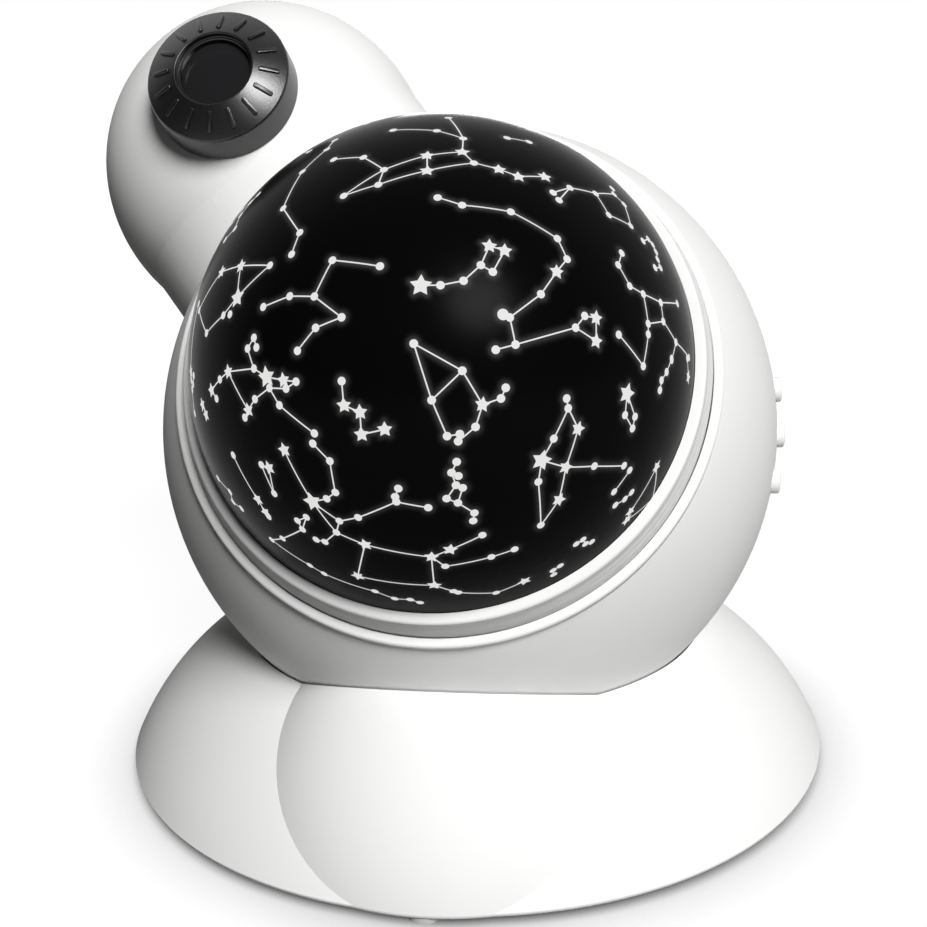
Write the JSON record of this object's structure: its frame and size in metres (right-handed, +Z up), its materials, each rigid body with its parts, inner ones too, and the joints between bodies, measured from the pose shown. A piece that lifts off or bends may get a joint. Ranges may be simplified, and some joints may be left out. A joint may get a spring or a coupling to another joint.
{
  "type": "planetarium projector",
  "caption": "Table-top star projector: tilting ball with a turning star dome and a small focusing slide-projector head, seated in a bell-shaped base; push buttons on one side.",
  "frame": {"origin": "on the table, under the centre of the ball and on the axis of the base", "axes": "+Z up; -Y towards the front, where the dome looks; +X towards the side with the buttons"},
  "size_m": [0.2273, 0.2204, 0.223],
  "materials": {
    "shell": "satin white moulding",
    "collar": "satin white moulding",
    "buttons": "satin white moulding",
    "dome": "black printed dome with clear stars",
    "knob": "satin black moulding",
    "window": "dark clear window",
    "lenses": "clear",
    "barrel": "black",
    "base_dark": "dark grey moulding",
    "chassis": "black moulding",
    "gears": "natural acetal",
    "disc": "black",
    "feet": "pale grey",
    "shoe": "natural nylon",
    "screws": "zinc plated",
    "spring_steel": "bright",
    "pins": "turned",
    "motor": "plated can",
    "boards": "green laminate",
    "cells": "plain sleeve",
    "contacts": "nickel plated",
    "lamps": "clear epoxy"
  },
  "bodies": {
    "base": {"base_shell": "shell", "base_plate": "base_dark", "base_screws": "screws", "rubber_feet": "feet", "tilt_stem": "base_dark", "tilt_shoe": "shoe", "spring_washer": "spring_steel", "clamp_bolt": "screws"},
    "projector": {"ball_front_shell": "shell", "ball_rear_shell": "shell", "shell_screws": "screws", "chassis_plate": "chassis", "chassis_screws": "screws", "turntable_retainer": "spring_steel", "gear_motor": "motor", "lamp_post": "chassis", "star_lamp": "lamps", "main_board": "boards", "button_board": "boards", "battery_tray": "chassis", "battery_cells": "cells", "battery_contacts": "contacts", "battery_door": "shell", "battery_door_screw": "screws", "focus_guide": "chassis", "disc_carrier": "chassis", "disc_spindle": "pins", "lamp_tube": "chassis", "condenser_lens": "lenses", "head_lamp_board": "boards", "head_lamp": "lamps"},
    "dome": {"star_dome": "dome", "dome_collar": "collar", "turntable": "collar", "ring_gear": "gears"},
    "pinion": {"drive_pinion": "gears"},
    "focus": {"focus_knob": "knob", "lens_window": "window"},
    "lens": {"lens_barrel": "barrel", "projection_lens": "lenses"},
    "disc": {"picture_disc": "disc"},
    "upper_button": {"button_upper": "buttons"},
    "middle_button": {"button_middle": "buttons"},
    "lower_button": {"button_lower": "buttons"}
  },
  "joints": [
    {"name": "tilt", "type": "hinge", "parent": "base", "child": "projector", "pos_m": [0, 0, 0.096], "axis": [-1, 0, 0], "range_deg": [-8, 30]},
    {"name": "dome_spin", "type": "hinge", "parent": "projector", "child": "dome", "pos_m": [0, 0, 0.096], "axis": [0, -0.8616, 0.5075], "continuous": true},
    {"name": "pinion_spin", "type": "hinge", "parent": "projector", "child": "pinion", "pos_m": [0.02912, -0.01074, 0.07777], "axis": [0, -0.8616, 0.5075], "continuous": true},
    {"name": "focus_turn", "type": "hinge", "parent": "projector", "child": "focus", "pos_m": [-0.0688, 0.04421, 0.17106], "axis": [0, -0.8616, 0.5075], "range_deg": [0, 270]},
    {"name": "focus_travel", "type": "slide", "parent": "projector", "child": "lens", "axis": [0, -0.8616, 0.5075], "range_m": [0, 0.004]},
    {"name": "disc_turn", "type": "hinge", "parent": "projector", "child": "disc", "pos_m": [-0.08367, 0.05377, 0.18729], "axis": [0, -0.8616, 0.5075], "continuous": true},
    {"name": "upper_button_press", "type": "slide", "parent": "projector", "child": "upper_button", "axis": [-1, 0, 0], "range_m": [0, 0.0012], "stiffness_N_per_m": 400},
    {"name": "middle_button_press", "type": "slide", "parent": "projector", "child": "middle_button", "axis": [-1, 0, 0], "range_m": [0, 0.0012], "stiffness_N_per_m": 400},
    {"name": "lower_button_press", "type": "slide", "parent": "projector", "child": "lower_button", "axis": [-1, 0, 0], "range_m": [0, 0.0012], "stiffness_N_per_m": 400}
  ],
  "couplings": [
    {"joint": "pinion_spin", "follows": "dome_spin", "ratio": -5},
    {"joint": "focus_travel", "follows": "focus_turn", "m_per_rad": 0.00084}
  ]
}
